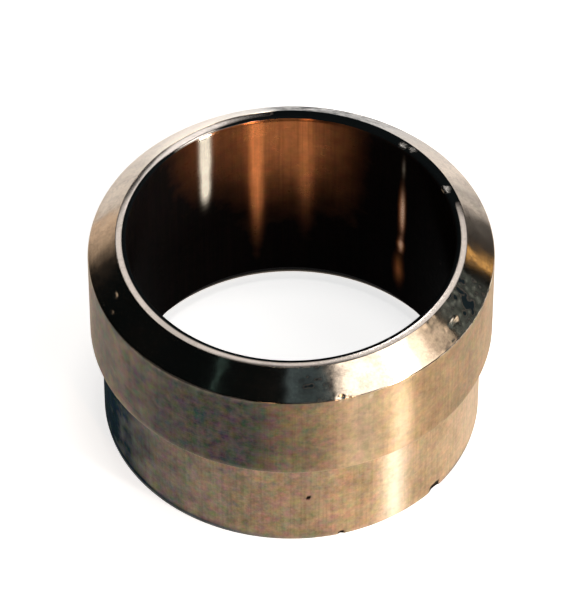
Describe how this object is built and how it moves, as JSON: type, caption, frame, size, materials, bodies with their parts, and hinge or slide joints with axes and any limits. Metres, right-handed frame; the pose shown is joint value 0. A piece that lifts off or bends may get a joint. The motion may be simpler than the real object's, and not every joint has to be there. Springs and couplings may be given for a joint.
{
  "type": "compression olive",
  "caption": "Turned brass sleeve for a compression joint: plain bore for the tube, cone and raised band at the nut's end, and a slimmer collar that enters the fitting.",
  "frame": {"origin": "centre of the foot's plane, on the tube's axis", "axes": "+Z along the tube's axis, from the foot towards the nut's cone; any direction across it is alike"},
  "size_m": [0.0188, 0.0188, 0.0111],
  "materials": {
    "brass": "satin turned brass with a burnished cone, a darker bore and light handling wear"
  },
  "bodies": {
    "root": {"compression_olive": "brass"}
  },
  "joints": []
}
